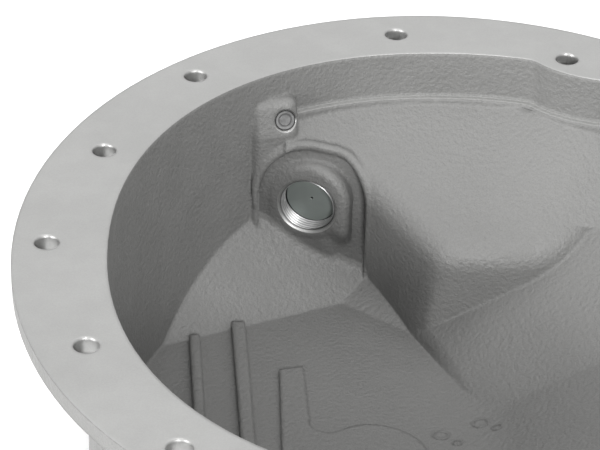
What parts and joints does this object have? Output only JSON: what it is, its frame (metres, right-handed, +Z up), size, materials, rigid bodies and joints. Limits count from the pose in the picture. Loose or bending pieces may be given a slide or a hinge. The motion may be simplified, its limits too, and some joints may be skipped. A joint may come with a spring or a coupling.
{
  "type": "differential cover",
  "caption": "Deep cast axle cover with an oval bolting flange, a stepped oil bowl and a threaded fill port.",
  "frame": {"origin": "centre of the bounding box at the crests of the cooling fins, which is the base it stands on", "axes": "+Z up out of the open bowl, square to the flange face; +Y to the far side, where the fill port is, along the longest extent; +X to the ramp end of the bowl"},
  "size_m": [0.3026, 0.335, 0.114],
  "materials": {
    "cast_aluminium": "as cast, with a machined flange face",
    "plug_steel": "dull plated",
    "seal_rubber": "matt"
  },
  "bodies": {
    "root": {"cover_casting": "cast_aluminium", "fill_plug": "plug_steel", "fill_plug_seal": "seal_rubber", "port_plug": "plug_steel"}
  },
  "joints": []
}
